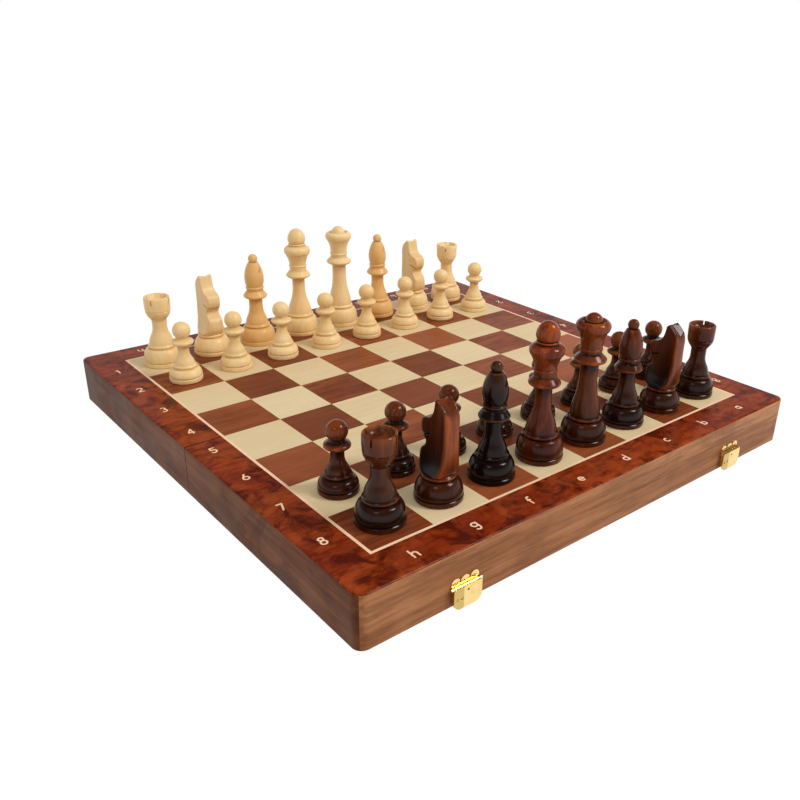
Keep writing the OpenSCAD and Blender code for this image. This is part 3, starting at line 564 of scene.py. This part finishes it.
# sizes in millimetres, angles in degrees; a drop is measured down from the man's top
men = {
    "kingHeight": 95.0, "queenHeight": 91.8, "bishopHeight": 78.6, "knightHeight": 67.0,
    "rookHeight": 57.0, "pawnHeight": 47.6,
    "royalBase": 16.0, "pieceBase": 15.3, "pawnBase": 12.9,
    "knightThickness": 11.4, "knightBlank": 13.0, "knightNeck": 18,
    "mouthDrop": 23, "mouthX": 1.6, "mouthTilt": 18, "mouthHalf": 0.42, "mouthDeep": 0.2,
    "earDrop": 5.3, "earX": 7.6, "earTilt": 38, "earFlare": 0.333, "edgePower": -16,
    "slitDrop": 15, "slitTilt": 50, "slitHalf": 0.45, "slitDeep": 0.5,
    "rookCutHalf": 0.052, "rookCutDrop": 5.2, "rookWallFrom": 7.6, "rookTurn": {"light": 42, "dark": 27},
    "columns": 72, "slitColumns": 120, "headColumns": 200,
}


def dots(*pairs):
    return np.array(pairs, float)


def footRun(baseR, domeZ, bellR, neckR, neckZ, lift):
    # disc, groove, dome, bead and hollow stem, as (radius, height) from the bottom up
    rise, swell = neckZ - domeZ, bellR - neckR
    return [
        dots([baseR - 1.0, 0.0]),
        arcRun([baseR - 1, 1], 1, -90, 0, 6),
        dots([baseR, 3.1], [baseR - 0.25, 3.4], [baseR - 0.9, 3.8], [baseR - 0.7, 4.1]),
        bend([baseR - 0.3, 4.4], [baseR + 0.2, 0.55 * domeZ],
             [bellR + 3, 0.9 * domeZ], [bellR + 0.9, domeZ], 18),
        dots([bellR - 0.5, domeZ + 0.7]),
        arcRun([bellR - 1.2, domeZ + 2.1], 1.2, -50, 50, 9),
        bend([bellR - 1.2, domeZ + 4], [neckR + 0.62 * swell, domeZ + 0.4 * lift * rise],
             [neckR + 0.1, domeZ + 0.42 * lift * rise], [neckR, domeZ + 0.8 * rise], 22),
        dots([neckR, neckZ]),
    ]


def collarRun(r, z, neckR, upR):
    # a lens: thin rounded rim at height z with a hollow slope on each side
    return [dots([neckR, z - 3.4], [neckR + 0.6, z - 3.2], [r - 2.5, z - 2.5]),
            arcRun([r - 1.5, z - 0.2], 1.5, -60, 50, 10),
            dots([upR + 0.9, z + 3.4], [upR + 0.3, z + 4.0], [upR, z + 4.8])]


def pawnOutline(m):
    h, ball = m["pawnHeight"], 0.145 * m["pawnHeight"]
    return np.concatenate(
        footRun(m["pawnBase"], 10, 0.7 * m["pawnBase"], 4.3, 0.59 * h, 1.15)
        + [dots([6, h - 18.8]), arcRun([6.9, h - 16.1], 1.6, -60, 60, 10), dots([5.2, h - 13.4]),
           arcRun([0, h - ball], ball, -48, 87, 26)])


def bishopOutline(m):
    h, neck = m["bishopHeight"], 0.497 * m["bishopHeight"]
    return np.concatenate(
        footRun(m["pieceBase"], 14, 0.71 * m["pieceBase"], 5.8, neck, 1)
        + collarRun(10.1, neck + 3.6, 5.8, 7)
        + [arcRun([6.9, h - 28.9], 0.9, -60, 60, 7),
           bend([7.2, h - 27.4], [8.6, h - 22.6], [9.2, h - 15.6], [4.4, h - 7.2], 70),
           dots([2.8, h - 6.7]), arcRun([0, h - 4], 4, -40, 86, 18)])


def rookOutline(m):
    h, neck = m["rookHeight"], 0.64 * m["rookHeight"]
    return np.concatenate(
        footRun(m["pieceBase"], 14, 0.72 * m["pieceBase"], 5.8, neck, 1.2)
        + [bend([5.8, neck + 0.5], [6.2, h - 17.4], [9.2, h - 16], [9.9, h - 11.6], 14),
           dots([9.5, h - 11.1], [10, h - 10.6], [10.2, h - 7], [10.2, h - 5.2], [10.2, h - 5.16],
                [10.2, h - 0.8], [10.05, h - 0.3], [9.7, h], [8.7, h]),
           bend([8.5, h - 0.6], [7.8, h - 4], [4, h - 5.4], [0.4, h - 5.6], 14)])


def queenOutline(m):
    h, ball, neck = m["queenHeight"], 6.1, 0.61 * m["queenHeight"]
    return np.concatenate(
        footRun(m["royalBase"], 15.5, 0.73 * m["royalBase"], 6.2, neck, 0.95)
        + collarRun(11.2, neck + 3.8, 6.2, 7.2)
        + [arcRun([7, neck + 11], 0.9, -60, 60, 7),
           bend([7.4, neck + 12.8], [7.7, h - 17.5], [8.6, h - 15.6], [10.1, h - 12.8], 12),
           bend([10.8, h - 12], [11.9, h - 10], [12, h - 8], [11.2, h - 6.8], 8),
           dots([9.8, h - 5.4], [8.6, h - 5.1], [8.1, h - 6], [6.2, h - 6.4]),
           arcRun([0, h - ball], ball, 4, 87, 16)])


def kingOutline(m):
    h, neck = m["kingHeight"], 0.53 * m["kingHeight"]
    return np.concatenate(
        footRun(m["royalBase"], 15.5, 0.74 * m["royalBase"], 5.5, neck, 1)
        + collarRun(10.7, neck + 3.6, 5.5, 7.2)
        + [arcRun([6.9, h - 32.6], 0.9, -60, 60, 7),
           bend([7.3, h - 31], [7.6, h - 28], [8.4, h - 26.4], [9.9, h - 23], 12),
           dots([9.8, h - 22.7], [10.7, h - 22]),
           bend([11.1, h - 21.2], [11.6, h - 19.6], [11.5, h - 18], [10.8, h - 16.9], 8),
           dots([9.2, h - 15.6], [7, h - 14.6]),
           arcRun([6.6, h - 13.6], 0.8, -70, 80, 7),
           bend([6.4, h - 12.6], [8.7, h - 11], [8, h - 5.6], [5.2, h - 2.4], 16),
           bend([5.2, h - 2.4], [3.6, h - 0.6], [1.6, h], [0.3, h], 10)[1:]])


def knightLines(h):
    # the head's back and front lines as (x, height), each rising
    back = np.concatenate([
        dots([-9.4, 18]),
        bend([-10.8, 21], [-12.2, 30], [-12.4, 0.64 * h], [-11.8, 0.82 * h], 16),
        dots([-11, h - 8.6], [-9.6, h - 5.6], [-6.6, h - 2.8], [-2.9, h])])
    front = np.concatenate([
        bend([13.1, h - 44], [12.8, 21.4], [11.2, 19.4], [9.6, 18], 12)[::-1],
        bend([7.6, h - 32.6], [10.6, h - 34.6], [13.4, h - 37.6], [13.2, h - 42.6], 16)[::-1],
        dots([6.7, h - 30.6]),
        bend([11.6, h - 20.6], [11.4, h - 24.4], [9, h - 27], [6.8, h - 29], 24)[::-1],
        bend([5.4, h - 14], [9.4, h - 14.4], [11, h - 15.8], [11.5, h - 19], 14)[::-1],
        bend([-0.6, h - 4.4], [0, h - 8], [0.8, h - 11], [3.4, h - 13], 12)[::-1],
        dots([-1.2, h - 1.4], [-2.7, h])])
    return back, front


def knightHead(m, columns):
    # Each height has a closed section: rays from its middle end at the nearest of the round blank, the
    # back line, the front line and the two sides. A high power mean of the four distances rounds the
    # edges. Sides run out to the blank near the foot. Heights are cut off above the V between the ears.
    h, half, blank, neck = m["knightHeight"], m["knightThickness"] / 2, m["knightBlank"], m["knightNeck"]
    back, front = knightLines(h)
    # heights lie closer together at the neck, the mouth and the ears
    top = h - 0.05
    z = np.unique(np.concatenate([front[:, 1], np.linspace(neck, 26, 14), np.linspace(26, h - 28, 16),
                                  np.linspace(h - 28, h - 17, 44), np.linspace(h - 17, top, 40)]))
    z = z[(z >= neck) & (z <= top)]
    xBack = np.interp(z, back[:, 1], back[:, 0])[:, None]
    xFront = np.interp(z, front[:, 1], front[:, 0])[:, None]
    foot = dots([10.6, 18], [11.7, 19], [12.35, 20.6], [12.8, 22.6], [blank, 25], [blank, h])
    blankR = np.interp(z, foot[:, 1], foot[:, 0])[:, None]
    side = np.concatenate([dots([13, 18]),
                           bend([9.4, 18.8], [half + 1.6, 22.4], [half + 0.5, 28], [half, 38], 20),
                           dots([half - 0.3, h])])
    width = np.interp(z, side[:, 1], side[:, 0])[:, None]
    nearZero = 1e-3
    a = evenAngles(columns) + 1e-4
    c, s = np.cos(a), np.sin(a)
    middle = (xBack + xFront) / 2
    toRound = -middle * c + np.sqrt(np.maximum(blankR ** 2 - (middle * s) ** 2, 0))
    toEnd = np.where(c > 0, (xFront - middle) / np.maximum(c, nearZero),
                     (middle - xBack) / np.maximum(-c, nearZero))
    toSide = width / np.maximum(np.abs(s), nearZero)
    power = m["edgePower"]
    reach = (toRound ** power + toEnd ** power + toSide ** power) ** (1 / power)
    x, y, zz = middle + reach * c, reach * s, z[:, None] + 0 * a
    # slanting saw cut of the mouth, as a narrow groove in both sides
    slope = math.radians(m["mouthTilt"])
    d = (zz - (h - m["mouthDrop"])) * math.cos(slope) + (x - m["mouthX"]) * math.sin(slope)
    groove = np.exp(-(d / m["mouthHalf"]) ** 4) / (1 + np.exp(-(x - 2.2) * 4)) * (x < 12.5)
    y = y * (1 - m["mouthDeep"] * groove)
    # saw cut between the ears: it rises to the front and to both sides
    cut = (x + m["earX"]) * math.tan(math.radians(m["earTilt"])) + np.abs(y) * m["earFlare"]
    zz = np.minimum(zz, h - m["earDrop"] + cut)
    # stain: thin on the turned back and dark on the sawn sides; painted shade in the mouth groove
    turned = np.clip(1 - (toRound - reach) / 2.2, 0, 1) * np.clip((-x - 4) / 3, 0, 1)
    shadeAndTone = shadeAndToneAmounts["mouth"] * groove + shadeAndToneAmounts["sawnSide"] - shadeAndToneAmounts["turnedBack"] * turned
    return np.stack([x, y, zz], -1), shadeAndTone


def knightFootOutline(m):
    r = m["pieceBase"]
    return np.concatenate([
        dots([r - 1.0, 0.0]), arcRun([r - 1, 1], 1, -90, 0, 6),
        dots([r, 3.1], [r - 0.25, 3.4], [r - 0.9, 3.8], [r - 0.7, 4.1]),
        bend([r - 0.3, 4.4], [r + 0.2, 7.6], [13.4, 12.8], [11.2, 14.4], 18),
        dots([10, 15.1]), arcRun([9.8, 16.6], 1.1, -60, 60, 9), dots([9.2, 18.4])])


def spinZ(points, quarterTurns):
    a = quarterTurns * math.pi / 2
    c, s = round(math.cos(a)), round(math.sin(a))
    return np.stack([c * points[..., 0] - s * points[..., 1], s * points[..., 0] + c * points[..., 1],
                     points[..., 2]], -1)


def manParts(kind, side, m, quarterTurns):
    # closed surfaces in millimetres about the man's own axis, as points, faces and stain
    angles = evenAngles(m["slitColumns"] if kind == "bishop" else m["columns"])
    if kind == "knight":
        line = knightFootOutline(m)
        head, shadeAndTone = knightHead(m, m["headColumns"])
        head = spinZ(head, quarterTurns)
        return [closeGrid(turnedGrid(line, angles), [0, 0, 0], [0, 0, line[-1, 1]], paintedRimGrooveLight(line)),
                closeGrid(head, head[0].mean(0), head[-1].mean(0), shadeAndTone)]
    outline = {"pawn": pawnOutline, "bishop": bishopOutline, "rook": rookOutline, "queen": queenOutline,
               "king": kingOutline}[kind](m)
    h = m[kind + "Height"]
    if kind == "rook":
        # saw cuts: two columns close together at each side of a cut, and between them the wall is lower
        cutHalf, cutZ = m["rookCutHalf"], h - m["rookCutDrop"]
        steps = np.linspace(-np.pi / 4, np.pi / 4, 17)[:-1]
        outer = cutHalf + 0.004
        edges = [-outer, -cutHalf, cutHalf, outer]
        steps = np.sort(np.concatenate([steps[np.abs(steps) > 0.08], edges]))
        angles = (np.arange(4)[:, None] * np.pi / 2 + steps).ravel()
        inside = np.abs((angles + np.pi / 4) % (np.pi / 2) - np.pi / 4) <= cutHalf + 1e-6
        grid = turnedGrid(outline, angles + math.radians(m["rookTurn"][side]))
        wall = inside & (outline[:, :1] > m["rookWallFrom"])
        grid[..., 2] = np.where(wall, np.minimum(grid[..., 2], cutZ), grid[..., 2])
        return [closeGrid(grid, [0, 0, 0], [0, 0, outline[-1, 1]], paintedRimGrooveLight(outline))]
    grid, shadeAndTone = turnedGrid(outline, angles), paintedRimGrooveLight(outline)
    if kind == "bishop":
        # slanting saw cut: points near the tilted plane move towards the axis
        slope = math.radians(m["slitTilt"])
        x, z = grid[..., 0], grid[..., 2]
        d = (z - (h - m["slitDrop"])) * math.cos(slope) - (x - 1) * math.sin(slope)
        share = np.exp(-(d / m["slitHalf"]) ** 4) / (1 + np.exp(-(x - 1.5) * 3)) * (z > h - 22)
        grid[..., :2] *= (1 - m["slitDeep"] * share)[..., None]
        # painted shade in the saw cut
        shadeAndTone = shadeAndTone + shadeAndToneAmounts["slitShade"] * share
    return [closeGrid(grid, [0, 0, 0], [0, 0, h], shadeAndTone)]


def placeMan(nodeName, kind, side, m, material, look):
    low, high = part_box(nodeName)
    middle = np.array([(low[0] + high[0]) / 2, (low[1] + high[1]) / 2, low[2]])
    points, faces, shadeAndTone, count = [], [], [], 0
    for partPoints, partFaces, partShadeAndTone in manParts(kind, side, m, -1 if side == "light" else 1):
        points.append(partPoints * mm + middle)
        faces += [[k + count for k in face] for face in partFaces]
        shadeAndTone.append(partShadeAndTone)
        count += len(partPoints)
    points, shadeAndTone = np.concatenate(points), np.concatenate(shadeAndTone)
    piece = addPiece(nodeName + "_turned", points, faces, material)
    # darker towards the foot than the head
    rise = (points[:, 2] - points[:, 2].min()) / np.ptp(points[:, 2])
    tone, warmth, shift, shadeAndToneShare, riseShare = look
    tone = np.clip(tone + shadeAndToneShare * shadeAndTone + riseShare * (shadeAndToneAmounts["middleHeight"] - rise), 0, 1)
    values = np.stack([tone, np.full(count, warmth), np.full(count, shift), np.ones(count)], -1)
    layer = piece.data.attributes.new("manLook", "FLOAT_COLOR", "POINT")
    layer.data.foreach_set("color", values.ravel())
    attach(piece, nodeName)
    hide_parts(nodeName)


# Tone and warmth of each man. Stain says how strongly the painted highlight on rims and the painted shade in
# grooves show, rise how much darker the foot is than the head, and spread how much a random part changes the
# tone.
manTones = {
    "light": {"bishop": (0.14, 0.9), "other": (0.02, 0.35)},
    "lightShadeAndTone": 0.5, "lightRise": 0.0, "lightSpread": 0.048,
    "dark": {"other": (0.68, 0.3), "dark_bishop_f8": (1.2, 0.0), "dark_king_e8": (0.5, 0.7),
             "dark_knight_g8": (0.66, 0.5), "dark_knight_b8": (0.6, 0.4), "dark_queen_d8": (0.66, 0.5),
             "dark_rook_h8": (0.72, 0.1), "dark_pawn_h7": (0.6, 0.5)},
    "darkShadeAndTone": 1.1, "darkRise": 0.75, "darkSpread": 0.12,
    "seed": 5,
}


def manLook(nodeName, kind, side, tones, randoms):
    table = tones[side]
    tone, warmth = table.get(nodeName, table.get(kind, table["other"]))
    extra = tones[side + "Spread"] * (randoms[0] - 0.5)
    return tone + extra, warmth, float(randoms[1]), tones[side + "ShadeAndTone"], tones[side + "Rise"]


menNames = sorted(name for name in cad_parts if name.split("_")[0] in ("light", "dark"))
draws = np.random.default_rng(manTones["seed"]).random((len(menNames), 2))
for nodeName, randoms in zip(menNames, draws):
    side, kind = nodeName.split("_")[:2]
    placeMan(nodeName, kind, side, men, menWoods["boxwoodMen" if side == "light" else "stainedMen"],
             manLook(nodeName, kind, side, manTones, randoms))
print("stage: men stand on the board")

# ---- surroundings
studio = {"floorZ": -0.26, "floorHalf": 40.0, "floorWhite": 0.95, "floorStrength": 1.03,
          "floorColour": (0.85, 0.85, 0.85, 1), "ambient": 0.64,
          "domeLow": 0.12, "domeHigh": 0.5, "domeShade": 0.12,
          "keyPlace": (0.84, -1.04, 1.48), "keySize": 0.6, "keyPower": 18.0,
          "fillPlace": (-1.2, -0.8, 1.3), "fillSize": 0.5, "fillPower": 2.0}


def seenOrNot(tree):
    # 1 for rays from the camera and for rays that reflections or glass send out
    path = addNode(tree, "ShaderNodeLightPath")
    mirrored = mathNode(tree, "MAXIMUM", path.outputs["Is Glossy Ray"], path.outputs["Is Transmission Ray"])
    return mathNode(tree, "MAXIMUM", path.outputs["Is Camera Ray"], mirrored), mirrored


def buildStudio(s):
    world = bpy.data.worlds.new("studioLight")
    bpy.context.scene.world = world
    world.use_nodes = True
    tree = world.node_tree
    background = tree.nodes["Background"]
    background.inputs["Color"].default_value = (1, 1, 1, 1)
    # white all round up to the height of a backdrop; above it reflections show a dim ceiling
    seen, mirrored = seenOrNot(tree)
    split = addNode(tree, "ShaderNodeSeparateXYZ")
    join(tree, addNode(tree, "ShaderNodeTexCoord").outputs["Generated"], split.inputs[0])
    ceiling = rangeNode(tree, split.outputs[2], s["domeLow"], s["domeHigh"], 0.0, 1.0 - s["domeShade"])
    bright = mathNode(tree, "SUBTRACT", 1.0, mathNode(tree, "MULTIPLY", ceiling, mirrored))
    spread = mathNode(tree, "MULTIPLY", mathNode(tree, "SUBTRACT", 1.0, seen), s["ambient"])
    join(tree, mathNode(tree, "MULTIPLY_ADD", bright, seen, spread), background.inputs["Strength"])

    half, z = s["floorHalf"], s["floorZ"]
    mesh = bpy.data.meshes.new("studioFloor")
    corners = [(-half, -half, z), (half, -half, z), (half, half, z), (-half, half, z)]
    mesh.from_pydata(corners, [], [(0, 1, 2, 3)])
    floor = bpy.data.objects.new("studioFloor", mesh)
    bpy.context.scene.collection.objects.link(floor)
    material = bpy.data.materials.new("studioFloor")
    material.use_nodes = True
    tree = material.node_tree
    tree.nodes.clear()
    diffuse = addNode(tree, "ShaderNodeBsdfDiffuse")
    diffuse.inputs["Color"].default_value = s["floorColour"]
    glow = addNode(tree, "ShaderNodeEmission")
    glow.inputs["Strength"].default_value = s["floorStrength"]
    mix = addNode(tree, "ShaderNodeMixShader")
    join(tree, mathNode(tree, "MULTIPLY", seenOrNot(tree)[0], s["floorWhite"]), mix.inputs[0])
    join(tree, diffuse.outputs[0], mix.inputs[1])
    join(tree, glow.outputs[0], mix.inputs[2])
    out = addNode(tree, "ShaderNodeOutputMaterial")
    join(tree, mix.outputs[0], out.inputs[0])
    mesh.materials.append(material)

    for label in ("key", "fill"):
        lamp = bpy.data.lights.new(label + "Lamp", "AREA")
        lamp.shape = "SQUARE"
        lamp.size = s[label + "Size"]
        lamp.energy = s[label + "Power"]
        holder = bpy.data.objects.new(label + "Lamp", lamp)
        bpy.context.scene.collection.objects.link(holder)
        spot = np.array(s[label + "Place"])
        back = spot / np.linalg.norm(spot)
        right = np.cross([0, 0, 1], back)
        right = right / np.linalg.norm(right)
        up = np.cross(back, right)
        matrix = Matrix.Identity(4)
        for row in range(3):
            for column, axis in enumerate((right, up, back)):
                matrix[row][column] = axis[row]
            matrix[row][3] = spot[row]
        holder.matrix_world = matrix


buildStudio(studio)
print("stage: studio ready")
